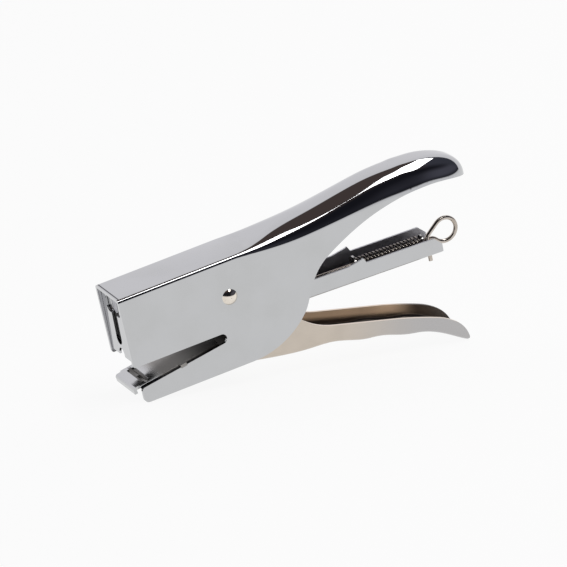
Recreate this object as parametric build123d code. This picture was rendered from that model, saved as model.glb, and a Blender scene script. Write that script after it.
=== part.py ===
from build123d import *
import math
import os

# Hand-held plier stapler. A pressed chrome body is the upper handle, the head and the fixed jaw in one.
# A sprung lower handle and the staple magazine both turn in it, on one rivet.
# Drawing frame: origin at the rivet's centre, X rearwards along the head's top edge, Y across, Z up.
# Magazine pieces are drawn along the magazine, which hangs from the same rivet at a small angle.
# At the end everything is turned to stand on the jaw's corner and the lower handle's tip.

# Staples and their play in the channel
STAPLE_CROWN = 12.8
STAPLE_HEIGHT = 6.0
STAPLE_WIRE = 0.55
STAPLE_PLAY = 0.5
STRIP_LENGTH = 50.5

# Sheet thicknesses, and side clearances between the nested walls
BODY_SHEET = 1.2
LEVER_SHEET = 1.2
MAGAZINE_SHEET = 0.8
SIDE_CLEARANCE = 0.2

# Half widths, from the staples outwards
MAGAZINE_INNER = STAPLE_CROWN / 2 + STAPLE_PLAY
MAGAZINE_HALF = MAGAZINE_INNER + MAGAZINE_SHEET
LEVER_INNER = MAGAZINE_HALF + SIDE_CLEARANCE
LEVER_HALF = LEVER_INNER + LEVER_SHEET
BODY_INNER = LEVER_HALF + SIDE_CLEARANCE
BODY_HALF = BODY_INNER + BODY_SHEET

# Rivet and what turns on it
RIVET_RADIUS = 2.0
RIVET_HEAD_RADIUS = 3.0
RIVET_DOME = 1.5
TIGHT_CLEARANCE = 0.02
RUNNING_CLEARANCE = 0.06
SPACER_WALL = 0.9

# Head and jaw of the body
HEAD_FRONT = -42.2
HEAD_TOP = 14.7
HEAD_FOLD = 1.5
HEAD_CORNER = 0.8
HANDLE_START = 6.0
THROAT_TOP = -12.8
THROAT_END = -4.7
THROAT_END_RADIUS = 1.9
THROAT_SLOPE = 8.2
JAW_FRONT = -41.0
JAW_BOTTOM = -27.6
JAW_CORNER = 2.0
CHEEK_CORNER = 1.2

# Upper handle: along, crown height, narrowing of each side, fold across and fold down
HANDLE_STATIONS = [
    (HANDLE_START, HEAD_TOP, 0.0, HEAD_FOLD, HEAD_FOLD),
    (12.0, 14.95, 0.0, 2.7, 2.4),
    (18.0, 15.85, 0.0, 5.4, 4.2),
    (24.0, 16.9, 0.0, 7.9, 6.0),
    (30.0, 17.65, 0.0, 9.3, 7.1),
    (38.0, 18.55, 0.0, 10.0, 7.9),
    (48.0, 19.9, 0.0, 10.0, 9.0),
    (58.0, 21.3, 0.0, 9.5, 10.3),
    (67.0, 22.1, 0.0, 8.6, 11.5),
    (75.0, 22.15, 0.0, 7.9, 12.4),
]
# Rounded end of the upper handle, from a pivot below the last station: lean of the section, reach,
# narrowing, fold across and fold down
HANDLE_PIVOT = 2.0
HANDLE_END_SECTIONS = [
    (15.0, 20.75, 0.05, 7.8, 12.5),
    (30.0, 22.6, 0.1, 8.0, 12.6),
    (45.0, 25.4, 0.3, 8.3, 12.8),
    (60.0, 28.4, 0.6, 8.6, 13.0),
    (69.0, 28.9, 0.8, 8.8, 13.1),
    (78.0, 28.0, 1.0, 8.8, 13.1),
]
HANDLE_RIM = 12.8
HANDLE_RIM_TOP_AT = 84.0
HANDLE_TIP = (104.5, 7.8)
FOOT_LIFT = 0.5
FOOT_SWEEP = 0.01

# Lower handle: along, depth of the bottom, narrowing of each side, fold across and fold down
LEVER_FLOOR_START = 2.0
LEVER_STATIONS = [
    (LEVER_FLOOR_START, 28.3, 0.0, 2.0, 2.0),
    (14.0, 30.7, 0.0, 2.0, 2.0),
    (26.0, 32.4, 0.0, 2.0, 2.0),
    (36.0, 33.4, 0.0, 2.1, 2.1),
    (42.0, 35.2, 0.0, 2.2, 2.2),
    (48.0, 37.1, 0.0, 2.3, 2.3),
    (54.0, 38.1, 0.0, 2.4, 2.4),
    (60.0, 40.1, 0.0, 2.5, 2.5),
    (65.0, 41.8, 0.0, 2.6, 2.6),
    (70.0, 42.9, 0.05, 2.6, 2.6),
    (75.0, 44.8, 0.1, 2.7, 2.7),
    (80.0, 47.7, 0.2, 2.7, 2.7),
    (85.0, 51.2, 0.4, 2.8, 2.7),
    (89.0, 53.9, 0.8, 3.0, 2.7),
]
LEVER_RIM = -43.3
LEVER_RIM_END_AT = 84.0
LEVER_TIP = (86.95, -51.2)
LEVER_TIP_RADIUS = 1.1
LEVER_NOSE = -37.8
LEVER_NOSE_TOP = 12.8
LEVER_NOSE_BOTTOM = 3.0

# Swing of the magazine when the lower handle is squeezed
MAGAZINE_SWING = 12.4

# Magazine channel, measured along the magazine from the rivet
MAGAZINE_TILT = 2.1
CHANNEL_BOTTOM = -12.54
CHANNEL_REAR = 86.2
CHANNEL_WALL = 6.2
CHANNEL_FRONT_RISE = 0.5
CHANNEL_BEND = 1.0
HUMP_AT = 54.1
HUMP_RISE = 1.7
HUMP_RAMP = 6.0
REAR_CHAMFER = 2.8
EAR_RADIUS = 5.0
FRONT_FACE = -41.3
FRONT_SHEET = 0.8
FRONT_TOP = 11.4
FRONT_CORNER = 2.5
STAPLE_GAP = 1.3

# Driver blade, and the crosshead's tongue that moves it
DRIVER_SHEET = 0.6
DRIVER_PLAY = 0.15
DRIVER_TOP = 10.9
DRIVER_REST = -5.5
TONGUE_WIDTH = 4.2
TONGUE_TOP = 9.6
TONGUE_BOTTOM = 4.2
TONGUE_PLAY = 0.25
SLOT_BOTTOM = -8.1
WINDOW_HALF = 6.2
WINDOW_TOP = 10.3
NOTCH_WIDTH = 4.6
NOTCH_HEIGHT = 3.0
BRIDGE_SHEET = 1.6
BRIDGE_LENGTH = 7.0
BRIDGE_TAB = 3.5

# Anvil
ANVIL_FRONT = -43.6
ANVIL_NOSE_HALF = 8.4
ANVIL_SHEET = 1.2
ANVIL_RISE = 0.8
ANVIL_LIP = 2.6
ANVIL_REAR = -8.0
ANVIL_TAB_REAR = -22.0
ANVIL_TAB = 2.5
POCKET_LENGTH = 13.7
POCKET_WIDTH = 3.2
POCKET_LEAD = 0.6
POCKET_DEPTH = 0.5
GROOVE_WIDTH = 1.3
GROOVE_DEPTH = 0.35

# Pusher, loading rod and spring
PUSHER_LENGTH = 42.2
PUSHER_SHEET = 0.8
PUSHER_HALF = 5.6
PUSHER_FLOOR_GAP = 0.15
PUSHER_TONGUE_HALF = 3.4
BEAD_RADIUS = 0.7
ROD_RADIUS = 0.8
ROD_HEAD_RADIUS = 1.3
ROD_HEAD_LENGTH = 0.8
RING_RADIUS = 4.8
RING_CENTRE = (90.5, -7.1)
RING_LEAVE = 127.0
ROD_BEND_START = 84.0
HOOK_AT = 82.6
HOOK_OFFSET = 2.3
HOOK_DEPTH = 3.9
HOOK_BEND = 2.5
HOOK_SLOT_PLAY = 0.4
SPRING_RADIUS = 2.15
SPRING_WIRE = 0.35
SPRING_TURNS = 18
SPRING_END_GAP = 0.15
SPRING_FLOOR_GAP = 0.35
WASHER_SHEET = 0.7

# Torsion springs on the spacer
TORSION_RADIUS = 4.3
TORSION_WIRE = 0.5
TORSION_PITCH = 1.5
TORSION_INSET = 0.6
TORSION_SEAT_GAP = 0.15

# Spacing of the sections that the pressed handles are lofted through
SECTION_STEP = 3.0
SECTION_TURN = 6.0
SLOPE_ROUNDS = 40
# Share of the sheet by which a fold's hollow is tighter than its outside
FOLD_INSET = 0.9

ABOVE = 40.0
BELOW = -60.0


class Outline:
    """Edges drawn one after another in a side view, closed into a face."""

    def __init__(self, *start):
        self.start = start
        self.here = start
        self.edges = []

    def line(self, *point):
        self.edges.append(Line(self.here, point))
        self.here = point
        return self

    def arc(self, *point, heading=None):
        if heading is None:
            tangent = self.edges[-1] % 1
        else:
            tangent = (math.cos(math.radians(heading)), math.sin(math.radians(heading)))
        self.edges.append(TangentArc(self.here, point, tangent=tangent))
        self.here = point
        return self

    def face(self):
        self.line(*self.start)
        return make_face(Curve() + self.edges)


def slab(face, half, plane=Plane.XZ):
    """A side-view face given its width, the same on both sides of the middle."""
    return extrude(plane * face, amount=half, both=True)


def block(low, high):
    """A box between two corners."""
    size = [b - a for a, b in zip(low, high)]
    return Pos(*low) * Box(*size, align=(Align.MIN, Align.MIN, Align.MIN))


def cross_hole(radius, half):
    """A round bar across the tool at the rivet, used as a hole."""
    return Rot(90, 0, 0) * Cylinder(radius, 2 * half)


def along_magazine(shape):
    """From the magazine's own frame to the drawing frame."""
    return Rot(0, MAGAZINE_TILT, 0) * shape


def section_plane(along, height, lean):
    """Plane across the tool whose upright leans rearwards by the given angle."""
    turn = math.radians(lean)
    return Plane((along, 0, height), x_dir=(0, 1, 0), z_dir=(math.cos(turn), 0, -math.sin(turn)))


def arch(plane, half, foot, crown, across, down):
    """Channel section: two straight sides under a top with elliptical folds."""
    shoulder = crown - down
    flat = half - across
    edges = [
        Line((-half, foot), (half, foot)),
        Line((half, foot), (half, shoulder)),
        EllipticalCenterArc((flat, shoulder), across, down, 0, arc_size=90),
        Line((flat, crown), (-flat, crown)),
        EllipticalCenterArc((-flat, shoulder), across, down, 90, arc_size=90),
        Line((-half, shoulder), (-half, foot)),
    ]
    return plane * make_face(Curve() + edges)


def smooth_slopes(places, values):
    """Slopes of the curve through the given points whose bend has no jumps."""
    rises = [(b - a) / (q - p) for p, q, a, b in zip(places, places[1:], values, values[1:])]
    slopes = [rises[0], *rises[1:], rises[-1]]
    for _ in range(SLOPE_ROUNDS):
        for i in range(1, len(rises)):
            before = places[i] - places[i - 1]
            after = places[i + 1] - places[i]
            pull = 3 * (rises[i - 1] * after + rises[i] * before)
            slopes[i] = (pull - slopes[i - 1] * after - slopes[i + 1] * before) / (2 * (before + after))
    return slopes


def smooth_value(places, values, slopes, place):
    """Height of the smooth curve at one place."""
    i = max(j for j in range(len(places) - 1) if places[j] <= place)
    span = places[i + 1] - places[i]
    t = (place - places[i]) / span
    bend_in = t * (1 - t) ** 2 * span * slopes[i]
    bend_out = t ** 2 * (t - 1) * span * slopes[i + 1]
    return values[i] + (values[i + 1] - values[i]) * t ** 2 * (3 - 2 * t) + bend_in + bend_out


def filled_in(rows, step):
    """The rows of a table of sections, with smooth rows between them at an even step."""
    places, *columns = zip(*rows)
    count = round((places[-1] - places[0]) / step)
    even = [places[0] + (places[-1] - places[0]) * i / count for i in range(count + 1)]
    slopes = [smooth_slopes(places, column) for column in columns]
    return [(place, *(smooth_value(places, column, slope, place) for column, slope in zip(columns, slopes)))
            for place in even]


def pressed_channel(sections, half, sheet):
    """Channel through a row of planes with their foot and the sizes of their arch, hollowed to its sheet."""
    def solid(inset, drop):
        return loft([
            arch(plane, half - narrowing - inset, foot - drop, crown - inset,
                 across - FOLD_INSET * inset, down - FOLD_INSET * inset)
            for plane, foot, crown, narrowing, across, down in sections])
    return solid(0, 0) - solid(sheet, FOOT_LIFT / 2)


# Places that several pieces share
slope = math.radians(THROAT_SLOPE)
throat_centre = (THROAT_END - THROAT_END_RADIUS, THROAT_TOP - THROAT_END_RADIUS)
throat_low = (throat_centre[0] + THROAT_END_RADIUS * math.sin(slope),
              throat_centre[1] - THROAT_END_RADIUS * math.cos(slope))
handle_end = HANDLE_STATIONS[-1][0]
lever_end = LEVER_STATIONS[-1][0]
floor_top = CHANNEL_BOTTOM + MAGAZINE_SHEET
wall_top = CHANNEL_BOTTOM + CHANNEL_WALL
front_wall_top = wall_top + CHANNEL_FRONT_RISE
front_back = FRONT_FACE + FRONT_SHEET
floor_front = front_back + STAPLE_GAP
strip_rear = floor_front + STRIP_LENGTH
rod_height = floor_top + SPRING_FLOOR_GAP + SPRING_RADIUS + SPRING_WIRE
pusher_rear = strip_rear + STAPLE_PLAY + PUSHER_LENGTH
washer_rear = HOOK_AT - ROD_RADIUS - SPRING_END_GAP


def cheek_edge(along):
    """Height of the jaw cheeks' upper edge."""
    return throat_low[1] + (along - throat_low[0]) * math.tan(slope)


def body_outline():
    """Side view of the body, open above the crown."""
    cheek_front = cheek_edge(JAW_FRONT)
    drawing = Outline(HEAD_FRONT, ABOVE)
    drawing.line(HEAD_FRONT, THROAT_TOP + HEAD_CORNER)
    drawing.arc(HEAD_FRONT + HEAD_CORNER, THROAT_TOP)
    drawing.line(throat_centre[0], THROAT_TOP)
    drawing.arc(THROAT_END, throat_centre[1])
    drawing.arc(*throat_low)
    drawing.line(JAW_FRONT + CHEEK_CORNER, cheek_edge(JAW_FRONT + CHEEK_CORNER))
    drawing.arc(JAW_FRONT, cheek_front - CHEEK_CORNER)
    drawing.line(JAW_FRONT, JAW_BOTTOM + JAW_CORNER)
    drawing.arc(JAW_FRONT + JAW_CORNER, JAW_BOTTOM)
    drawing.line(3.0, JAW_BOTTOM)
    drawing.arc(26.5, -17.3)
    drawing.arc(28.8, -14.0)
    drawing.line(32.4, -7.25)
    drawing.arc(40.4, 1.0)
    drawing.arc(54.2, 7.6)
    drawing.arc(HANDLE_RIM_TOP_AT, HANDLE_RIM)
    drawing.arc(*HANDLE_TIP)
    drawing.line(HANDLE_TIP[0], ABOVE)
    return drawing.face()


def anvil_frame(shape):
    """From a frame along the cheeks' edge, under the throat's end, to the drawing frame."""
    return Pos(throat_low[0], 0, throat_low[1]) * Rot(0, -THROAT_SLOPE, 0) * shape


def anvil_along(along):
    """Distance along the cheeks' edge of a place given along the tool."""
    return (along - throat_low[0]) / math.cos(slope)


def anvil_tabs(play):
    """The two tabs that lock the anvil in the cheeks, as one bar across."""
    rear = anvil_along(ANVIL_TAB_REAR)
    low = (rear - ANVIL_TAB - play, -BODY_HALF, ANVIL_RISE - ANVIL_SHEET - play)
    return block(low, (rear + play, BODY_HALF, ANVIL_RISE + play))


def handle_sections():
    """Sections of the upper handle: upright ones, then the rounded end's that fan out from the pivot."""
    sections = []
    for along, *sizes in filled_in(HANDLE_STATIONS, SECTION_STEP):
        foot = HANDLE_PIVOT + FOOT_LIFT - FOOT_SWEEP * (handle_end - along) ** 2
        sections.append((section_plane(along, 0, 0), foot, *sizes))
    crown, *folds = HANDLE_STATIONS[-1][1:]
    fan = [(0.0, crown - HANDLE_PIVOT, *folds)] + HANDLE_END_SECTIONS
    for lean, *sizes in filled_in(fan, SECTION_TURN)[1:]:
        sections.append((section_plane(handle_end, HANDLE_PIVOT, lean), FOOT_LIFT, *sizes))
    return sections


def head_bar(inset):
    """The head's section run straight from its front to the handle, inset from its outside."""
    fold = HEAD_FOLD - FOLD_INSET * inset
    section = arch(section_plane(HEAD_FRONT, 0, 0), BODY_HALF - inset, BELOW, HEAD_TOP - inset, fold, fold)
    return extrude(section, amount=HANDLE_START - HEAD_FRONT, dir=(1, 0, 0))


def make_body_shell():
    side = slab(body_outline(), BODY_HALF + 1)
    head = head_bar(0) - head_bar(BODY_SHEET)
    handle = pressed_channel(handle_sections(), BODY_HALF, BODY_SHEET)
    shell = (head & side) + (handle & side)
    shell -= cross_hole(RIVET_RADIUS + TIGHT_CLEARANCE, BODY_HALF + 1)
    return shell - anvil_frame(anvil_tabs(TIGHT_CLEARANCE))


def pocket_along():
    """Middle of the pocket, just ahead of where the driven staple lands when the magazine is down."""
    turn = math.radians(MAGAZINE_SWING - MAGAZINE_TILT)
    driver = front_back + DRIVER_PLAY + DRIVER_SHEET / 2
    return anvil_along(driver * math.cos(turn) - CHANNEL_BOTTOM * math.sin(turn)) - POCKET_LEAD


def make_anvil():
    front = anvil_along(ANVIL_FRONT)
    cheek = anvil_along(JAW_FRONT)
    rear = anvil_along(ANVIL_REAR)
    low = ANVIL_RISE - ANVIL_SHEET
    inside = BODY_INNER - TIGHT_CLEARANCE
    plate = block((cheek, -inside, low), (rear, inside, ANVIL_RISE))
    nose = Outline(cheek, ANVIL_RISE)
    nose.line(front + ANVIL_SHEET, ANVIL_RISE)
    nose.arc(front, ANVIL_RISE - ANVIL_SHEET)
    nose.line(front, ANVIL_RISE - ANVIL_LIP)
    nose.line(front + ANVIL_SHEET, ANVIL_RISE - ANVIL_LIP)
    nose.line(front + ANVIL_SHEET, low)
    nose.line(cheek, low)
    anvil = plate + slab(nose.face(), ANVIL_NOSE_HALF) + anvil_tabs(0)
    middle = pocket_along()
    anvil -= Pos(middle, 0, ANVIL_RISE) * Box(POCKET_WIDTH, POCKET_LENGTH, 2 * POCKET_DEPTH)
    reach = POCKET_LENGTH / 4
    radius = (reach ** 2 + GROOVE_DEPTH ** 2) / (2 * GROOVE_DEPTH)
    bar = Rot(0, 90, 0) * Cylinder(radius, GROOVE_WIDTH)
    for side in (-1, 1):
        groove_floor = ANVIL_RISE - POCKET_DEPTH - GROOVE_DEPTH
        anvil -= Pos(middle, side * reach, groove_floor + radius) * bar
    return anvil_frame(anvil)


def make_main_rivet():
    dome = (RIVET_HEAD_RADIUS ** 2 + RIVET_DOME ** 2) / (2 * RIVET_DOME)
    rivet = Cylinder(RIVET_RADIUS, 2 * BODY_HALF)
    cap = Pos(0, 0, BODY_HALF + RIVET_DOME - dome) * Sphere(dome)
    cap &= Pos(0, 0, BODY_HALF + RIVET_DOME) * Box(4 * dome, 4 * dome, 2 * RIVET_DOME)
    rivet += cap
    rivet += Rot(180, 0, 0) * cap
    return Rot(90, 0, 0) * rivet


def make_pivot_spacer():
    bore = RIVET_RADIUS + RUNNING_CLEARANCE
    length = 2 * (MAGAZINE_INNER - RUNNING_CLEARANCE)
    return Rot(90, 0, 0) * (Cylinder(bore + SPACER_WALL, length) - Cylinder(bore, 2 * length))


def lever_tip_foot():
    """Where the lower handle's rounded tip runs into its bottom."""
    (near, shallow), (far, deep) = [row[:2] for row in LEVER_STATIONS[-2:]]
    fall = math.atan2(deep - shallow, far - near)
    back = LEVER_TIP_RADIUS * math.sin(fall)
    drop = LEVER_TIP_RADIUS * math.cos(fall)
    return (LEVER_TIP[0] - back, LEVER_TIP[1] - drop)


def lever_outline():
    """Side view of the lower handle and its arms, open below the bottom."""
    drawing = Outline(LEVER_NOSE, LEVER_NOSE_TOP)
    drawing.line(-10.0, LEVER_NOSE_TOP)
    drawing.arc(8.5, 4.5)
    drawing.line(24.0, -18.2)
    drawing.arc(37.0, -26.6, heading=-50)
    drawing.line(60.0, -33.1)
    drawing.arc(77.6, -39.3)
    drawing.arc(LEVER_RIM_END_AT, LEVER_RIM)
    drawing.arc(LEVER_TIP[0] + LEVER_TIP_RADIUS, LEVER_TIP[1])
    drawing.arc(*lever_tip_foot())
    drawing.line(lever_end + 1, BELOW)
    drawing.line(LEVER_FLOOR_START, BELOW)
    drawing.line(LEVER_FLOOR_START, -14.0)
    drawing.arc(-4.0, -6.5)
    drawing.line(LEVER_NOSE, LEVER_NOSE_BOTTOM)
    return drawing.face()


def bridge_bar(half, play):
    """The crosshead's bar across the arms, or with play the slot for it."""
    front = LEVER_NOSE + (BRIDGE_LENGTH - BRIDGE_TAB) / 2
    top = LEVER_NOSE_TOP - BRIDGE_SHEET / 2
    low = (front - play, -half, top - BRIDGE_SHEET - play)
    return block(low, (front + BRIDGE_TAB + play, half, top + play))


def make_lower_handle():
    plates = slab(lever_outline(), LEVER_HALF)
    in_front = block((LEVER_NOSE - 1, -BODY_HALF, BELOW), (LEVER_FLOOR_START, BODY_HALF, ABOVE))
    between = block((LEVER_NOSE - 1, -LEVER_INNER, BELOW), (LEVER_FLOOR_START, LEVER_INNER, ABOVE))
    arms = (plates & in_front) - between
    sections = [(section_plane(along, 0, 180), -HEAD_TOP, *sizes)
                for along, *sizes in filled_in(LEVER_STATIONS, SECTION_STEP)]
    trough = pressed_channel(sections, LEVER_HALF, LEVER_SHEET) & slab(lever_outline(), BODY_HALF)
    lever = arms + trough
    lever -= cross_hole(RIVET_RADIUS + RUNNING_CLEARANCE, BODY_HALF)
    return lever - bridge_bar(BODY_HALF, TIGHT_CLEARANCE)


def make_crosshead():
    top = LEVER_NOSE_TOP - BRIDGE_SHEET / 2
    inside = LEVER_INNER - TIGHT_CLEARANCE
    bridge = block((LEVER_NOSE, -inside, top - BRIDGE_SHEET), (LEVER_NOSE + BRIDGE_LENGTH, inside, top))
    bridge += bridge_bar(LEVER_HALF, 0)
    half = TONGUE_WIDTH / 2
    profile = Outline(-half, TONGUE_TOP)
    profile.line(-half, TONGUE_BOTTOM + half)
    profile.arc(0, TONGUE_BOTTOM)
    profile.arc(half, TONGUE_BOTTOM + half)
    profile.line(half, TONGUE_TOP)
    tongue_front = front_back + DRIVER_PLAY
    front = Plane((tongue_front, 0, 0), x_dir=(0, 1, 0), z_dir=(1, 0, 0))
    tongue_rear = LEVER_NOSE + BRIDGE_LENGTH / 2
    tongue = extrude(front * profile.face(), amount=tongue_rear - tongue_front, dir=(1, 0, 0))
    neck = block((LEVER_NOSE, -half, TONGUE_BOTTOM + half), (tongue_rear, half, DRIVER_TOP))
    return bridge + along_magazine(tongue + neck)


def make_magazine_channel():
    wall = Outline(front_back, CHANNEL_BOTTOM)
    wall.line(CHANNEL_REAR, CHANNEL_BOTTOM)
    wall.line(CHANNEL_REAR, wall_top - REAR_CHAMFER)
    wall.line(CHANNEL_REAR - REAR_CHAMFER, wall_top)
    wall.line(HUMP_AT + HUMP_RISE, wall_top)
    wall.line(HUMP_AT + HUMP_RISE / 2, wall_top + HUMP_RISE)
    wall.arc(HUMP_AT, wall_top + HUMP_RISE, heading=110)
    wall.line(HUMP_AT - HUMP_RAMP, front_wall_top)
    wall.line(EAR_RADIUS, front_wall_top)
    wall.line(EAR_RADIUS, 0)
    wall.arc(0, EAR_RADIUS)
    wall.arc(-EAR_RADIUS, 0)
    wall.line(-EAR_RADIUS, front_wall_top)
    wall.line(front_back, front_wall_top)
    channel = slab(wall.face(), MAGAZINE_HALF)
    bottom_edges = channel.edges().filter_by(Axis.X).group_by(Axis.Z)[0]
    channel = fillet(bottom_edges, CHANNEL_BEND)
    inside_low = (front_back - 1, -MAGAZINE_INNER, floor_top)
    channel -= block(inside_low, (CHANNEL_REAR + 1, MAGAZINE_INNER, ABOVE))
    channel -= block((front_back - 1, -MAGAZINE_INNER, BELOW), (floor_front, MAGAZINE_INNER, ABOVE))
    channel -= cross_hole(RIVET_RADIUS + RUNNING_CLEARANCE, BODY_HALF)
    half = ROD_RADIUS + HOOK_SLOT_PLAY
    slot_low = (HOOK_AT - half, -HOOK_OFFSET - half, BELOW)
    channel -= block(slot_low, (CHANNEL_REAR + 1, -HOOK_OFFSET + half, 0))
    return along_magazine(channel)


def make_front_plate():
    half = BODY_INNER - SIDE_CLEARANCE
    height = FRONT_TOP - CHANNEL_BOTTOM
    plate = Pos(0, (FRONT_TOP + CHANNEL_BOTTOM) / 2) * Rectangle(2 * half, height)
    plate = fillet(plate.vertices().group_by(Axis.Y)[-1], FRONT_CORNER)
    slot_width = TONGUE_WIDTH + 2 * TONGUE_PLAY
    plate -= Pos(0, (SLOT_BOTTOM + TONGUE_TOP) / 2) * SlotOverall(
        TONGUE_TOP - SLOT_BOTTOM, slot_width, rotation=90)
    window_bottom = TONGUE_BOTTOM - TONGUE_PLAY
    plate -= Pos(0, (WINDOW_TOP + window_bottom) / 2) * RectangleRounded(
        2 * WINDOW_HALF, WINDOW_TOP - window_bottom, slot_width / 2)
    plate -= Pos(0, CHANNEL_BOTTOM) * SlotOverall(2 * NOTCH_HEIGHT, NOTCH_WIDTH, rotation=90)
    front = Plane((FRONT_FACE, 0, 0), x_dir=(0, 1, 0), z_dir=(1, 0, 0))
    return along_magazine(extrude(front * plate, amount=FRONT_SHEET, dir=(1, 0, 0)))


def make_driver_blade():
    half = STAPLE_CROWN / 2
    height = DRIVER_TOP - DRIVER_REST
    blade = Pos(0, (DRIVER_TOP + DRIVER_REST) / 2) * Rectangle(2 * half, height)
    blade = fillet(blade.vertices().group_by(Axis.Y)[-1], FRONT_CORNER)
    window_half = TONGUE_WIDTH / 2 + TONGUE_PLAY
    window_height = TONGUE_TOP - TONGUE_BOTTOM + 2 * TONGUE_PLAY
    blade -= Pos(0, (TONGUE_TOP + TONGUE_BOTTOM) / 2) * Rectangle(2 * window_half, window_height)
    back = Plane((front_back + DRIVER_PLAY, 0, 0), x_dir=(0, 1, 0), z_dir=(1, 0, 0))
    return along_magazine(extrude(back * blade, amount=DRIVER_SHEET, dir=(1, 0, 0)))


def make_staple_strip():
    low = floor_top + PUSHER_FLOOR_GAP
    half = STAPLE_CROWN / 2
    strip = block((floor_front, -half, low), (strip_rear, half, low + STAPLE_HEIGHT))
    inner_low = (floor_front - 1, STAPLE_WIRE - half, low - 1)
    strip -= block(inner_low, (strip_rear + 1, half - STAPLE_WIRE, low + STAPLE_HEIGHT - STAPLE_WIRE))
    return along_magazine(strip)


def make_pusher():
    front = pusher_rear - PUSHER_LENGTH
    low = floor_top + PUSHER_FLOOR_GAP
    pusher = block((front, -PUSHER_HALF, low), (pusher_rear, PUSHER_HALF, low + PUSHER_SHEET))
    face_top = low + STAPLE_HEIGHT
    pusher += block((front, -PUSHER_HALF, low), (front + PUSHER_SHEET, PUSHER_HALF, face_top))
    for side in (-1, 1):
        bead = Pos(front, side * PUSHER_HALF / 2, low + PUSHER_SHEET) * Rot(0, 90, 0) * Cylinder(
            BEAD_RADIUS, PUSHER_LENGTH, align=(Align.CENTER, Align.CENTER, Align.MIN))
        pusher += bead & block((front, -PUSHER_HALF, low), (pusher_rear, PUSHER_HALF, face_top))
    rear = Plane((pusher_rear - PUSHER_SHEET, 0, 0), x_dir=(0, 1, 0), z_dir=(1, 0, 0))
    tongue = Outline(-PUSHER_TONGUE_HALF, low)
    tongue.line(PUSHER_TONGUE_HALF, low)
    tongue.line(PUSHER_TONGUE_HALF, rod_height)
    tongue.arc(0, rod_height + PUSHER_TONGUE_HALF)
    tongue.arc(-PUSHER_TONGUE_HALF, rod_height)
    pusher += extrude(rear * tongue.face(), amount=PUSHER_SHEET, dir=(1, 0, 0))
    rod_holes = {front: ROD_HEAD_RADIUS + SIDE_CLEARANCE, pusher_rear: ROD_RADIUS + RUNNING_CLEARANCE}
    for along, radius in rod_holes.items():
        pusher -= Pos(along, 0, rod_height) * Rot(0, 90, 0) * Cylinder(radius, 4 * PUSHER_SHEET)
    return along_magazine(pusher)


def biarc(start, start_heading, end, end_heading):
    """Two arcs that join two points with the given headings."""
    span = end - start
    both = start_heading + end_heading
    a = both.dot(both) - 4
    b = -2 * span.dot(both)
    reach = (-b - math.sqrt(b * b - 4 * a * span.dot(span))) / (2 * a)
    first = start + start_heading * reach
    last = end - end_heading * reach
    middle = (first + last) / 2
    return [TangentArc(start, middle, tangent=start_heading), TangentArc(middle, end, tangent=last - first)]


class Coil:
    """A helix about a plane's normal, as half-turn biarcs."""

    def __init__(self, plane, radius, pitch, start_angle, turns):
        self.plane = plane
        self.radius = radius
        self.pitch = pitch
        self.start_angle = math.radians(start_angle)
        self.turns = turns

    def point(self, turn):
        angle = self.start_angle + 2 * math.pi * turn
        place = (self.radius * math.cos(angle), self.radius * math.sin(angle), self.pitch * turn)
        return self.plane.from_local_coords(Vector(*place))

    def heading(self, turn):
        angle = self.start_angle + 2 * math.pi * turn
        rise = self.pitch / (2 * math.pi)
        way = Vector(-self.radius * math.sin(angle), self.radius * math.cos(angle), rise)
        return (self.plane.from_local_coords(way) - self.plane.origin).normalized()

    def edges(self):
        count = math.ceil(2 * self.turns)
        steps = [self.turns * i / count for i in range(count + 1)]
        edges = []
        for a, b in zip(steps, steps[1:]):
            edges += biarc(self.point(a), self.heading(a), self.point(b), self.heading(b))
        return edges

    def least_gap(self, wire, name):
        """Smallest space between neighbouring turns, measured on points."""
        places = [self.point(i / 48) for i in range(int(48 * self.turns) + 1)]
        nearest = min((p - q).length for i, p in enumerate(places) for q in places[i + 24:i + 73])
        print(f"{name}: least gap {nearest - 2 * wire:.2f} mm")


def wire_along(edges, radius):
    """A round wire swept along joined edges."""
    path = Wire(edges)
    start = Plane(path @ 0, z_dir=path % 0)
    return sweep(start * Circle(radius), path=path)


def make_loading_rod():
    front = strip_rear + STAPLE_PLAY + PUSHER_SHEET + SPRING_END_GAP
    bend = Vector(ROD_BEND_START, 0, rod_height)
    ring_low = Vector(RING_CENTRE[0], 0, RING_CENTRE[1] - RING_RADIUS)
    rearwards = Vector(1, 0, 0)
    edges = [Line(Vector(front + ROD_HEAD_LENGTH, 0, rod_height), bend)]
    ring_plane = Plane((RING_CENTRE[0], 0, RING_CENTRE[1]), x_dir=(1, 0, 0), z_dir=(0, -1, 0))
    ring_turns = (RING_LEAVE + 90) / 360
    leave_angle = math.radians(RING_LEAVE)
    run = (RING_CENTRE[0] + RING_RADIUS * math.cos(leave_angle) - HOOK_AT) / math.sin(leave_angle)
    around = 2 * math.pi * RING_RADIUS
    ring = Coil(ring_plane, RING_RADIUS, HOOK_OFFSET / (ring_turns + run / around), -90, ring_turns)
    edges += biarc(bend, rearwards, ring_low, ring.heading(0))
    edges += ring.edges()
    leave = ring.point(ring_turns)
    way = ring.heading(ring_turns)
    corner = leave + way * (leave.X - HOOK_AT) / -way.X
    drop = Vector(0, 0, -1)
    turn = math.radians(way.get_angle(drop))
    trim = HOOK_BEND * math.tan(turn / 2)
    edges.append(Line(leave, corner - way * trim))
    edges.append(TangentArc(corner - way * trim, corner + drop * trim, tangent=way))
    tip = Vector(corner.X, corner.Y, CHANNEL_BOTTOM - HOOK_DEPTH)
    edges.append(Line(corner + drop * trim, tip))
    rod = wire_along(edges, ROD_RADIUS)
    rod += Pos(front, 0, rod_height) * Rot(0, 90, 0) * Cylinder(
        ROD_HEAD_RADIUS, ROD_HEAD_LENGTH, align=(Align.CENTER, Align.CENTER, Align.MIN))
    return along_magazine(rod)


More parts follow.
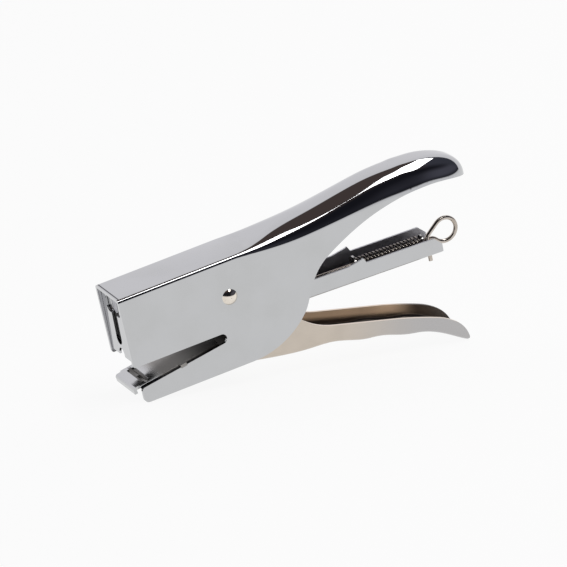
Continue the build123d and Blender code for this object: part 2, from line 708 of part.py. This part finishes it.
def make_spring_washer():
    ring = Cylinder(SPRING_RADIUS + SPRING_WIRE, WASHER_SHEET) - Cylinder(
        ROD_RADIUS + TIGHT_CLEARANCE, 2 * WASHER_SHEET)
    return along_magazine(Pos(washer_rear - WASHER_SHEET / 2, 0, rod_height) * Rot(0, 90, 0) * ring)


def make_pusher_spring():
    front = pusher_rear + SPRING_END_GAP + SPRING_WIRE
    rear = washer_rear - WASHER_SHEET - SPRING_END_GAP - SPRING_WIRE
    plane = Plane((front, 0, rod_height), x_dir=(0, 1, 0), z_dir=(1, 0, 0))
    coil = Coil(plane, SPRING_RADIUS, (rear - front) / SPRING_TURNS, 0, SPRING_TURNS)
    coil.least_gap(SPRING_WIRE, "pusher_spring")
    return along_magazine(wire_along(coil.edges(), SPRING_WIRE))


def touch_angle(point, side):
    """Angle on the torsion coil at which a straight leg to the point leaves it."""
    away = math.hypot(*point)
    return math.degrees(math.atan2(point[1], point[0]) + side * math.acos(TORSION_RADIUS / away))


def torsion_spring(name, start_side, first_leg, last_leg):
    """Coil on the spacer with two straight legs, each given by its end in side view."""
    first = touch_angle(first_leg, 1)
    last = touch_angle(last_leg, -1)
    turns = 3 + ((last - first) % 360) / 360
    plane = Plane((0, start_side, 0), x_dir=(1, 0, 0), z_dir=(0, -1, 0))
    coil = Coil(plane, TORSION_RADIUS, TORSION_PITCH, first, turns)
    coil.least_gap(TORSION_WIRE, name)
    lengths = [math.sqrt(math.hypot(*leg) ** 2 - TORSION_RADIUS ** 2) for leg in (first_leg, last_leg)]
    stretch = math.hypot(1, TORSION_PITCH / (2 * math.pi * TORSION_RADIUS))
    start = coil.point(0) - coil.heading(0) * lengths[0] * stretch
    end = coil.point(turns) + coil.heading(turns) * lengths[1] * stretch
    edges = [Line(start, coil.point(0))] + coil.edges() + [Line(coil.point(turns), end)]
    return wire_along(edges, TORSION_WIRE)


def bridge_seat(along):
    """Leg end under the crosshead's bridge."""
    under = LEVER_NOSE_TOP - 1.5 * BRIDGE_SHEET
    return (along, under - TORSION_SEAT_GAP - TORSION_WIRE)


def make_return_spring():
    under_top = HEAD_TOP - BODY_SHEET - TORSION_SEAT_GAP - TORSION_WIRE
    return torsion_spring("return_spring", -TORSION_INSET, bridge_seat(LEVER_NOSE + 0.8 * BRIDGE_LENGTH),
                          (HANDLE_START, under_top))


def make_magazine_spring():
    tilt = math.radians(MAGAZINE_TILT)
    seat = (-24.0, front_wall_top + TORSION_SEAT_GAP + TORSION_WIRE)
    on_wall = (seat[0] * math.cos(tilt) + seat[1] * math.sin(tilt),
               seat[1] * math.cos(tilt) - seat[0] * math.sin(tilt))
    return torsion_spring("magazine_spring", MAGAZINE_INNER - 2 * TORSION_WIRE, on_wall,
                          bridge_seat(LEVER_NOSE + 0.8 * BRIDGE_LENGTH))


def stand_tilt():
    """Angle that sets the jaw's rounded corner and the lower handle's rounded tip on one level."""
    run = LEVER_TIP[0] - (JAW_FRONT + JAW_CORNER)
    fall = (JAW_BOTTOM + JAW_CORNER) - LEVER_TIP[1]
    lean = math.asin((JAW_CORNER - LEVER_TIP_RADIUS) / math.hypot(run, fall))
    return math.degrees(math.atan2(fall, run) - lean)


PIECES = {
    "body_shell": make_body_shell,
    "anvil": make_anvil,
    "main_rivet": make_main_rivet,
    "pivot_spacer": make_pivot_spacer,
    "lower_handle": make_lower_handle,
    "crosshead": make_crosshead,
    "return_spring": make_return_spring,
    "magazine_channel": make_magazine_channel,
    "front_plate": make_front_plate,
    "driver_blade": make_driver_blade,
    "magazine_spring": make_magazine_spring,
    "staple_strip": make_staple_strip,
    "pusher": make_pusher,
    "loading_rod": make_loading_rod,
    "spring_washer": make_spring_washer,
    "pusher_spring": make_pusher_spring,
}

drawn = {name: make() for name, make in PIECES.items()}
tilt = stand_tilt()
turned = {name: Rot(0, -tilt, 0) * piece for name, piece in drawn.items()}
boxes = [piece.bounding_box() for piece in turned.values()]
middle_x = (min(box.min.X for box in boxes) + max(box.max.X for box in boxes)) / 2
stand = Pos(-middle_x, 0, -min(box.min.Z for box in boxes))
print(f"stands tilted by {tilt:.3f} degrees, moved by {-middle_x:.4f}, {stand.position.Z:.4f} mm")

os.makedirs("parts", exist_ok=True)
for name, piece in turned.items():
    export_step(stand * piece, f"parts/{name}.step")
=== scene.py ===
import math

import bpy
import numpy as np
from mathutils import Matrix, Vector
from mathutils.kdtree import KDTree


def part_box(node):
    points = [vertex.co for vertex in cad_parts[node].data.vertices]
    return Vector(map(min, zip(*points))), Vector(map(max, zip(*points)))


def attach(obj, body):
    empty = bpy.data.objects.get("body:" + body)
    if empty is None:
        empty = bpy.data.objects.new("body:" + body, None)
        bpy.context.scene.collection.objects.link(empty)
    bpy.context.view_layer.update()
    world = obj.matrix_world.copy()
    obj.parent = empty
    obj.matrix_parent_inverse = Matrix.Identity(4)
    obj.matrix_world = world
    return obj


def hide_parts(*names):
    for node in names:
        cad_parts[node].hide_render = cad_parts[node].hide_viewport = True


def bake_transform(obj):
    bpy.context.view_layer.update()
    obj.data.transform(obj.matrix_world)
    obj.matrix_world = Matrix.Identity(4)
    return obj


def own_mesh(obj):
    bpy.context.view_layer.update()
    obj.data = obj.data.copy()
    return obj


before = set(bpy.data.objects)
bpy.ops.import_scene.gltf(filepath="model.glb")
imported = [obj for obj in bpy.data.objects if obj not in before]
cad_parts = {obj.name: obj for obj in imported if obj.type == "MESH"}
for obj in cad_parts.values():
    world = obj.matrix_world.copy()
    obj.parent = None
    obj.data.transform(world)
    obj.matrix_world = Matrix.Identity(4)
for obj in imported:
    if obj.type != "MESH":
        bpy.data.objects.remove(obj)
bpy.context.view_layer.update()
bpy.ops.object.select_all(action="DESELECT")

MM_PER_M = 1000
WHITE = (1.0, 1.0, 1.0)

# Photograph's view: long lens, seen from the tool's front left and a little above
PHOTO_WIDTH_M = 0.2067
CAMERA_DISTANCE_M = 4.0
SENSOR_MM = 36.0
VIEW_RIGHT = Vector((0.9128, -0.4067, -0.0368))
VIEW_UP = Vector((0.1684, 0.2929, 0.9412))
AIM_FROM_RIVET_M = (0.02377, 0.00185)

# Studio floor, and the share of it that glows white where it is seen or mirrored
FLOOR_HALF_M = 6.0
FLOOR_SHADE = (0.86, 0.86, 0.86)
FLOOR_GLOW = 0.92

# Room that the chrome mirrors: shades, and the parts of a direction at which each one starts and is full
ROOM_SHADE = (0.012, 0.012, 0.017)
SHEEN_SHADE = (0.085, 0.085, 0.11)
SHEEN_ALONG = (0.1, 0.6)
SHEEN_FOOT = (0.05, 0.3)
SHEEN_TOP = (0.7, 0.45)
CEILING_SHADE = (0.085, 0.064, 0.060)
CEILING_LEAN = 0.9
CEILING_EDGE = (0.0, 0.5)
CEILING_REAR_SHADE = (0.055, 0.057, 0.075)
CEILING_REAR_EDGE = (0.2, 0.5)
LOW_WALL_SHADE = (0.86, 0.86, 0.88)
LOW_WALL_EDGE = (0.12, 0.05)
BACKDROP_SHADE = (0.94, 0.93, 0.96)
BACKDROP_LEAN = 0.5
BACKDROP_EDGE = (-0.02, 0.06)

# Strip lamp that hangs over the tool and faces down, turned about the upright
LAMP_PLACE_M = (0.455, -0.167, 1.40)
LAMP_TURN = -20.4
LAMP_WIDTH_M = 0.435
LAMP_LENGTH_M = 1.36
LAMP_WATTS = 11

# Side view of the tool as it stands: places in millimetres, tilts in degrees
HEAD_TILT = 11.09
JAW_EDGE_MM = (-30.267, 17.172)
JAW_EDGE_TILT = 19.29
LEVER_RIM_MM = (38.0, 13.72)
LEVER_RIM_TILT = -6.0

# Wear of a metal: clouds, and scratches drawn out along the tool
CLOUD_DETAIL = 3.0
CLOUD_EDGE = (0.35, 0.75)
SCRATCH_DETAIL = 4.0
SCRATCH_STRETCH = (0.12, 1.0, 1.0)
NOISE_MEAN = 0.5
RELIEF_STRENGTH = 0.25
STEEL_RELIEF_MM = 0.004
NICKEL_RELIEF_MM = 0.002
CHROME_RELIEF_MM = 0.0008

# Inside of a pressed channel: walls that face its middle plane, and a web that faces its opening
WALL_INWARDS = (-1.0, -4.0)
WEB_FACING = (0.25, 0.6)
OPENS_UP = 1
OPENS_DOWN = -1

# Patches of another finish, of painted shade and of painted light, in millimetres: an edge goes from none
# to full, a strip from side to side
STRIP_SOFT_MM = 0.15
JAW_SHADE_EDGE_MM = (20.0, 16.0)
MOUTH_LIGHT_EDGE_MM = (-37.0, -40.0)
ROLL_REFLECTION_STRIP_MM = (-41.7, -41.2)
ROLL_REFLECTION_HEIGHT_EDGE_MM = (14.0, 14.3)
ROLL_REFLECTION_WIDTH_EDGE_MM = (9.6, 9.3)
ANVIL_DULL_SHADE_EDGE_MM = (-30.0, -24.0)
ANVIL_SHADE_EDGE_MM = (-20.0, -4.0)
POCKET_LENGTH_STRIP_MM = (-33.3, -30.2)
POCKET_HEIGHT_STRIP_MM = (-0.2, 0.6)
LEVER_PALE_EDGE_MM = (12.0, 54.0)
LEVER_SHADE_DEPTH_EDGE_MM = (-2.0, -4.5)
LEVER_SHADE_REAR_EDGE_MM = (6.0, 18.0)
LEVER_SHADE_FAR_EDGE_MM = (1.0, 3.0)
TRACK_SHADE_EDGE_MM = (2.6, 2.3)

# Evened normals of the handle's roll: where it starts behind the rivet, and a patch longer than it is wide
EVEN_FROM_M = 0.004
EVEN_RADIUS_M = 0.003
EVEN_SPREAD_M = 0.0015
EVEN_LENGTH = 2.5

# Cosines between normals: on the same side of the sheet, with no crease, and turned only slightly
SAME_SIDE = 0.8
NO_CREASE = 0.985
SLIGHT_TURN = 0.9975

# Least length by which a summed normal is divided
LEAST_LENGTH = 1e-9

# Joined copies: the distance at which corners merge, and the angle below which edges are shaded smooth
MERGE_M = 0.000002
SMOOTH_ANGLE = 40.0


class Value:
    """An output socket of a shader, with the arithmetic that the finishes use."""

    def __init__(self, shader, socket):
        self.shader = shader
        self.socket = socket

    def __add__(self, other):
        return self.shader.maths("ADD", self, other)

    def __sub__(self, other):
        return self.shader.maths("SUBTRACT", self, other)

    def __mul__(self, other):
        return self.shader.maths("MULTIPLY", self, other)

    def __rsub__(self, other):
        return self.shader.maths("SUBTRACT", other, self)

    def __abs__(self):
        return self.shader.maths("ABSOLUTE", self, 0.0)

    __radd__ = __add__
    __rmul__ = __mul__


class Shader:
    """The node tree of a material or of the world."""

    def __init__(self, owner):
        owner.use_nodes = True
        self.tree = owner.node_tree
        self.tree.nodes.clear()

    def node(self, kind, settings=None, output=0, **inputs):
        """A node: its settings first, then values or links of its sockets, by name or, as i0, by number."""
        made = self.tree.nodes.new(kind)
        for name, value in (settings or {}).items():
            setattr(made, name, value)
        for name, value in inputs.items():
            place = int(name[1:]) if name[1:].isdigit() else name.replace("_", " ")
            if isinstance(value, Value):
                self.tree.links.new(value.socket, made.inputs[place])
            else:
                made.inputs[place].default_value = value
        return Value(self, made.outputs[output]) if made.outputs else made

    def maths(self, operation, first, second):
        return self.node("ShaderNodeMath", {"operation": operation}, i0=first, i1=second)

    def part(self, vector, letter):
        """One component of a vector."""
        return self.node("ShaderNodeSeparateXYZ", output=letter, Vector=vector)

    def band(self, value, edge):
        """A smooth step from 0 at the start of an edge to 1 at its end."""
        start, full = edge
        return self.node("ShaderNodeMapRange", {"interpolation_type": "SMOOTHSTEP"}, Value=value,
                         From_Min=start, From_Max=full)

    def mix(self, factor, first, second):
        """A colour between two others, on a node whose sockets share their names and go by number."""
        return self.node("ShaderNodeMix", {"data_type": "RGBA"}, 2, i0=factor, i6=first, i7=second)


def shade(colour):
    return (*colour, 1.0)


def middle(node):
    """The middle of a node's box, in metres."""
    return [(low + high) / 2 for low, high in zip(*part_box(node))]


def along_and_above(x, z, origin, tilt):
    """Places along and above a tilted line of the side view, for numbers and for shader values."""
    cosine = math.cos(math.radians(tilt))
    sine = math.sin(math.radians(tilt))
    level = x - origin[0]
    upright = z - origin[1]
    return cosine * level + sine * upright, cosine * upright - sine * level


class Metal(Shader):
    """A bare or plated metal: a faint cloud in its colour, fine scratches in its gloss."""

    def __init__(self, name, colour, tint, roughness, cloud_mm=4, cloud=0.10, scratch_mm=0.3, scratch=0.10):
        self.material = bpy.data.materials.new(name)
        super().__init__(self.material)
        self.place = self.node("ShaderNodeTexCoord", output="Object")
        clouds = self.node("ShaderNodeTexNoise", Vector=self.place, Scale=MM_PER_M / cloud_mm,
                           Detail=CLOUD_DETAIL)
        streak = self.node("ShaderNodeMapping", Vector=self.place, Scale=SCRATCH_STRETCH)
        self.lines = self.node("ShaderNodeTexNoise", Vector=streak, Scale=MM_PER_M / scratch_mm,
                               Detail=SCRATCH_DETAIL)
        worn = self.band(clouds, CLOUD_EDGE)
        self.colour = self.mix(worn, shade(colour), shade(tint))
        self.gloss = roughness + cloud * (worn - NOISE_MEAN) + scratch * (self.lines - NOISE_MEAN)

    def where(self, letter):
        """Place along one axis of the tool, in millimetres."""
        return MM_PER_M * self.part(self.place, letter)

    def patch(self, mask, colour, roughness):
        """Another colour and gloss where the mask is 1."""
        self.colour = self.mix(mask, self.colour, shade(colour))
        self.gloss = self.gloss + mask * (roughness - self.gloss)

    def within(self, value, strip):
        """1 between the two sides of a strip, 0 outside them."""
        low, high = strip
        return (self.band(value, (low - STRIP_SOFT_MM, low + STRIP_SOFT_MM))
                * self.band(value, (high + STRIP_SOFT_MM, high - STRIP_SOFT_MM)))

    def turned(self, origin_mm, tilt):
        return along_and_above(self.where("X"), self.where("Z"), origin_mm, tilt)

    def inside(self, opening):
        """1 on the inside of a pressed channel."""
        facing = self.node("ShaderNodeTexCoord", output="Normal")
        walls = self.band(self.where("Y") * self.part(facing, "Y"), WALL_INWARDS)
        web = self.band(opening * self.part(facing, "Z"), WEB_FACING)
        return self.maths("MAXIMUM", walls, web)

    def finished(self, relief_mm=STEEL_RELIEF_MM):
        relief = self.node("ShaderNodeBump", Strength=RELIEF_STRENGTH, Distance=relief_mm / MM_PER_M,
                           Height=self.lines)
        surface = self.node("ShaderNodeBsdfPrincipled", Base_Color=self.colour, Metallic=1.0,
                            Roughness=self.gloss, Normal=relief)
        self.node("ShaderNodeOutputMaterial", Surface=surface)
        return self.material


class Chrome(Metal):
    """Bright plating with hardly any wear."""

    def __init__(self, name, roughness):
        super().__init__(name, colour=(0.535, 0.54, 0.55), tint=(0.515, 0.52, 0.525), roughness=roughness,
                         cloud_mm=14, cloud=0.03, scratch_mm=0.6, scratch=0.02)


def body_chrome():
    """Bright, with a painted dark reflection on the rolled edge over the front; dull inside and darkened
    there with painted shade, paler with painted light at the mouth, and painted black shade in the jaw.
    """
    metal = Chrome("body_chrome", roughness=0.05)
    inside = metal.inside(OPENS_DOWN)
    rivet = middle("main_rivet")
    along, above = metal.turned((MM_PER_M * rivet[0], MM_PER_M * rivet[2]), HEAD_TILT)
    jaw_shade = inside * metal.band(metal.where("Z"), JAW_SHADE_EDGE_MM)
    mouth_light = inside * metal.band(along, MOUTH_LIGHT_EDGE_MM)
    roll = metal.within(along, ROLL_REFLECTION_STRIP_MM) * metal.band(above, ROLL_REFLECTION_HEIGHT_EDGE_MM)
    roll = roll * metal.band(abs(metal.where("Y")), ROLL_REFLECTION_WIDTH_EDGE_MM)
    # Painted shade: the inside is darkened as well as dulled
    metal.patch(inside, colour=(0.13, 0.125, 0.125), roughness=0.30)
    # Painted shade: black deep in the jaw
    metal.patch(jaw_shade, colour=(0.035, 0.033, 0.033), roughness=0.45)
    # Painted light: the inside is paler where light falls in at the mouth
    metal.patch(mouth_light, colour=(0.50, 0.50, 0.52), roughness=0.22)
    # Painted dark reflection: a dark strip along the rolled edge over the front
    metal.patch(roll, colour=(0.05, 0.05, 0.055), roughness=0.2)
    return metal.finished(CHROME_RELIEF_MM)


def channel_chrome():
    """Bright outside, dull inside, where the staples slide."""
    metal = Chrome("channel_chrome", roughness=0.06)
    metal.patch(metal.inside(OPENS_UP), colour=(0.58, 0.58, 0.61), roughness=0.55)
    return metal.finished(CHROME_RELIEF_MM)


def plate_chrome():
    return Chrome("plate_chrome", roughness=0.08).finished(CHROME_RELIEF_MM)


def anvil_chrome():
    """Bright on the nose, duller and darkened with painted shade into the throat, with painted shade in the
    pocket.
    """
    metal = Chrome("anvil_chrome", roughness=0.12)
    along, above = metal.turned(JAW_EDGE_MM, JAW_EDGE_TILT)
    pocket_shade = metal.within(along, POCKET_LENGTH_STRIP_MM) * metal.within(above, POCKET_HEIGHT_STRIP_MM)
    # Painted shade: darker towards the throat, as well as duller
    metal.patch(metal.band(along, ANVIL_DULL_SHADE_EDGE_MM), colour=(0.34, 0.325, 0.31), roughness=0.36)
    # Painted shade: black deep in the throat
    metal.patch(metal.band(along, ANVIL_SHADE_EDGE_MM), colour=(0.035, 0.032, 0.030), roughness=0.40)
    # Painted shade: the pocket is darkened
    metal.patch(pocket_shade, colour=(0.10, 0.095, 0.09), roughness=0.25)
    return metal.finished()


def lever_nickel():
    """Champagne nickel that pales towards the tip; dull inside and paler there, a painted light, with
    painted shade in dark brown deep on the far wall.
    """
    metal = Metal("lever_nickel", colour=(0.58, 0.515, 0.445), tint=(0.545, 0.485, 0.42), roughness=0.20,
                  cloud_mm=9, cloud=0.06, scratch_mm=0.5, scratch=0.06)
    inside = metal.inside(OPENS_UP)
    along, above = metal.turned(LEVER_RIM_MM, LEVER_RIM_TILT)
    deep_shade = metal.maths("MAXIMUM", metal.band(above, LEVER_SHADE_DEPTH_EDGE_MM),
                       metal.band(along, LEVER_SHADE_REAR_EDGE_MM))
    far_wall_shade = inside * deep_shade * metal.band(metal.where("Y"), LEVER_SHADE_FAR_EDGE_MM)
    metal.patch(metal.band(metal.where("X"), LEVER_PALE_EDGE_MM), colour=(0.46, 0.45, 0.45), roughness=0.16)
    # Painted light: the inside is paler and more golden than the outside
    metal.patch(inside, colour=(0.74, 0.64, 0.535), roughness=0.28)
    # Painted shade: dark brown deep on the far wall
    metal.patch(far_wall_shade, colour=(0.09, 0.078, 0.07), roughness=0.30)
    return metal.finished(NICKEL_RELIEF_MM)


def driver_steel():
    """Ground steel with a black track behind the slot, painted shade where the slot is in shadow."""
    metal = Metal("driver_steel", colour=(0.60, 0.60, 0.61), tint=(0.52, 0.52, 0.53), roughness=0.24)
    track_shade = metal.band(abs(metal.where("Y")), TRACK_SHADE_EDGE_MM)
    # Painted shade: the track behind the slot is black
    metal.patch(track_shade, colour=(0.018, 0.017, 0.016), roughness=0.5)
    return metal.finished()


def rivet_nickel():
    return Metal("rivet_nickel", colour=(0.80, 0.74, 0.66), tint=(0.70, 0.64, 0.56), roughness=0.12,
                 cloud_mm=3, cloud=0.06, scratch_mm=0.4, scratch=0.06).finished(NICKEL_RELIEF_MM)


def crosshead_steel():
    return Metal("crosshead_steel", colour=(0.36, 0.36, 0.39), tint=(0.28, 0.28, 0.30),
                 roughness=0.24).finished()


def rod_wire():
    return Metal("rod_wire", colour=(0.56, 0.51, 0.46), tint=(0.44, 0.39, 0.34), roughness=0.20).finished()


def staple_wire():
    return Metal("staple_wire", colour=(0.62, 0.62, 0.63), tint=(0.52, 0.52, 0.53),
                 roughness=0.25).finished()


def sheet_steel():
    return Metal("steel", colour=(0.50, 0.49, 0.48), tint=(0.40, 0.39, 0.38), roughness=0.28,
                 cloud_mm=5, cloud=0.10, scratch_mm=0.4, scratch=0.12).finished()


def spring_steel():
    return Metal("spring_steel", colour=(0.26, 0.235, 0.215), tint=(0.15, 0.13, 0.12),
                 roughness=0.28).finished()


FINISHES = {
    body_chrome: ["body_shell"],
    anvil_chrome: ["anvil"],
    rivet_nickel: ["main_rivet"],
    lever_nickel: ["lower_handle"],
    channel_chrome: ["magazine_channel"],
    plate_chrome: ["front_plate"],
    driver_steel: ["driver_blade"],
    crosshead_steel: ["crosshead"],
    rod_wire: ["loading_rod"],
    staple_wire: ["staple_strip"],
    sheet_steel: ["pivot_spacer", "pusher", "spring_washer"],
    spring_steel: ["return_spring", "magazine_spring", "pusher_spring"],
}


def finish_pieces():
    for finish, nodes in FINISHES.items():
        material = finish()
        for node in nodes:
            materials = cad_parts[node].data.materials
            materials.clear()
            materials.append(material)


def added(name, data):
    """A new object in the scene."""
    made = bpy.data.objects.new(name, data)
    bpy.context.scene.collection.objects.link(made)
    return made


def merge(skin):
    """Joins a copy's loose triangles."""
    bpy.ops.object.select_all(action="DESELECT")
    skin.select_set(True)
    bpy.context.view_layer.objects.active = skin
    bpy.ops.object.mode_set(mode="EDIT")
    bpy.ops.mesh.select_all(action="SELECT")
    bpy.ops.mesh.remove_doubles(threshold=MERGE_M)
    bpy.ops.object.mode_set(mode="OBJECT")


def evened(places, normals):
    """Normals fitted to those around them on the same side of the sheet."""
    places = places / (EVEN_LENGTH, 1, 1)
    tree = KDTree(len(places))
    for number, place in enumerate(places):
        tree.insert(place, number)
    tree.balance()
    fitted = normals.copy()
    for number, place in enumerate(places):
        near = np.array([found[1] for found in tree.find_range(place, EVEN_RADIUS_M)])
        near = near[normals[near] @ normals[number] > SAME_SIDE]
        away = places[near] - place
        weight = np.exp(-(away ** 2).sum(axis=1) / (2 * EVEN_SPREAD_M ** 2))[:, None]
        slope = np.hstack([np.ones((len(near), 1)), away / EVEN_RADIUS_M])
        fitted[number] = np.linalg.lstsq(slope * weight, normals[near] * weight, rcond=None)[0][0]
    fitted /= np.linalg.norm(fitted, axis=1)[:, None]
    slight = (fitted * normals).sum(axis=1) > SLIGHT_TURN
    return np.where(slight[:, None], fitted, normals)


def corner_vectors(mesh, source):
    """The vector of each corner of a mesh's faces."""
    vectors = np.empty(3 * len(mesh.loops), np.float32)
    source.foreach_get("vector", vectors)
    return vectors


def with_even_roll(mesh, normals):
    """Normals of a mesh's corners, evened out on the handle's roll, away from creases."""
    corners = np.array([loop.vertex_index for loop in mesh.loops])
    places = np.array([vertex.co for vertex in mesh.vertices])
    total = np.zeros_like(places)
    np.add.at(total, corners, normals)
    mean = total / np.maximum(np.linalg.norm(total, axis=1), LEAST_LENGTH)[:, None]
    least = np.ones(len(places))
    np.minimum.at(least, corners, (normals * mean[corners]).sum(axis=1))
    rivet = middle("main_rivet")
    behind = along_and_above(places[:, 0], places[:, 2], (rivet[0], rivet[2]), HEAD_TILT)[0]
    roll = (behind > EVEN_FROM_M) & (least > NO_CREASE)
    mean[roll] = evened(places[roll], mean[roll])
    return np.where(roll[corners][:, None], mean[corners], normals)


def body_skin():
    """The body as one skin, with the normals of its rolled handle evened out so that it mirrors cleanly."""
    skin = added("body_skin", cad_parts["body_shell"].data.copy())
    mesh = skin.data
    pressed = corner_vectors(mesh, mesh.corner_normals)
    mesh.attributes.new("pressed", "FLOAT_VECTOR", "CORNER").data.foreach_set("vector", pressed)
    merge(skin)
    pressed = corner_vectors(mesh, mesh.attributes["pressed"].data)
    mesh.attributes.remove(mesh.attributes["pressed"])
    mesh.normals_split_custom_set(with_even_roll(mesh, pressed.reshape(-1, 3).astype(float)).tolist())
    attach(skin, "body")
    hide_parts("body_shell")


def one_skin(name, node):
    """A copy of a spring with its triangles joined into one smooth skin."""
    coil = added(name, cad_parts[node].data.copy())
    merge(coil)
    bpy.ops.object.shade_smooth_by_angle(angle=math.radians(SMOOTH_ANGLE))
    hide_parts(node)
    return coil


def pusher_coil():
    """The pusher's spring as one smooth skin, attached to the rod."""
    coil = one_skin("pusher_coil", "pusher_spring")
    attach(coil, "rod")
    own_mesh(coil)


def torsion_coil(name, node):
    """A torsion spring as one smooth skin."""
    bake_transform(one_skin(name, node))


def studio_floor():
    """A pale floor that keeps the tool's shadow."""
    bpy.ops.mesh.primitive_plane_add(size=2 * FLOOR_HALF_M, location=(0, 0, 0))
    floor = bpy.context.object
    floor.name = "studio_floor"
    material = bpy.data.materials.new("studio_floor")
    shader = Shader(material)
    seen = shader.node("ShaderNodeLightPath", output="Is Camera Ray")
    mirrored = shader.node("ShaderNodeLightPath", output="Is Glossy Ray")
    lit = shader.node("ShaderNodeBsdfDiffuse", Color=shade(FLOOR_SHADE))
    glow = shader.node("ShaderNodeEmission", Color=shade(WHITE), Strength=1.0)
    surface = shader.node("ShaderNodeMixShader", i0=FLOOR_GLOW * (seen + mirrored), i1=lit, i2=glow)
    shader.node("ShaderNodeOutputMaterial", Surface=surface)
    floor.data.materials.append(material)


def studio_room():
    """Dark room in front over a low pale wall, brown ceiling, pale backdrop behind."""
    world = bpy.data.worlds.new("studio")
    bpy.context.scene.world = world
    shader = Shader(world)
    direction = shader.node("ShaderNodeTexCoord", output="Generated")
    along = shader.part(direction, "X")
    across = shader.part(direction, "Y")
    height = shader.part(direction, "Z")
    sheen = shader.band(along, SHEEN_ALONG) * shader.band(height, SHEEN_FOOT)
    sheen = sheen * shader.band(height, SHEEN_TOP)
    above = shader.band(across + CEILING_LEAN * height, CEILING_EDGE)
    behind = shader.band(across - BACKDROP_LEAN * height, BACKDROP_EDGE)
    ceiling = shader.mix(shader.band(along, CEILING_REAR_EDGE), shade(CEILING_SHADE),
                         shade(CEILING_REAR_SHADE))
    room = shader.mix(sheen, shade(ROOM_SHADE), shade(SHEEN_SHADE))
    room = shader.mix(above, room, ceiling)
    room = shader.mix(shader.band(height, LOW_WALL_EDGE), room, shade(LOW_WALL_SHADE))
    room = shader.mix(behind, room, shade(BACKDROP_SHADE))
    seen = shader.node("ShaderNodeLightPath", output="Is Camera Ray")
    surface = shader.node("ShaderNodeBackground", Color=shader.mix(seen, room, shade(WHITE)), Strength=1.0)
    shader.node("ShaderNodeOutputWorld", Surface=surface)


def strip_lamp():
    """The lamp whose streak shows in the roll of the handle."""
    lamp = bpy.data.lights.new("key_box", "AREA")
    lamp.shape = "RECTANGLE"
    lamp.size = LAMP_WIDTH_M
    lamp.size_y = LAMP_LENGTH_M
    lamp.energy = LAMP_WATTS
    holder = added("key_box", lamp)
    holder.location = LAMP_PLACE_M
    holder.rotation_euler = (0, 0, math.radians(LAMP_TURN))


def photo_camera():
    """The camera where the photograph was taken."""
    right = VIEW_RIGHT.normalized()
    back = right.cross(VIEW_UP).normalized()
    up = back.cross(right)
    aim = Vector(middle("main_rivet")) + right * AIM_FROM_RIVET_M[0] + up * AIM_FROM_RIVET_M[1]
    lens = bpy.data.cameras.new("photo_camera")
    lens.sensor_width = SENSOR_MM
    lens.lens = SENSOR_MM * CAMERA_DISTANCE_M / PHOTO_WIDTH_M
    holder = added("photo_camera", lens)
    turn = Matrix((right, up, back)).transposed().to_4x4()
    holder.matrix_world = Matrix.Translation(aim + back * CAMERA_DISTANCE_M) @ turn
    bpy.context.scene.camera = holder


finish_pieces()
body_skin()
pusher_coil()
torsion_coil("return_coil", "return_spring")
torsion_coil("magazine_coil", "magazine_spring")
studio_floor()
studio_room()
strip_lamp()
photo_camera()
bpy.context.scene.view_settings.view_transform = "Standard"
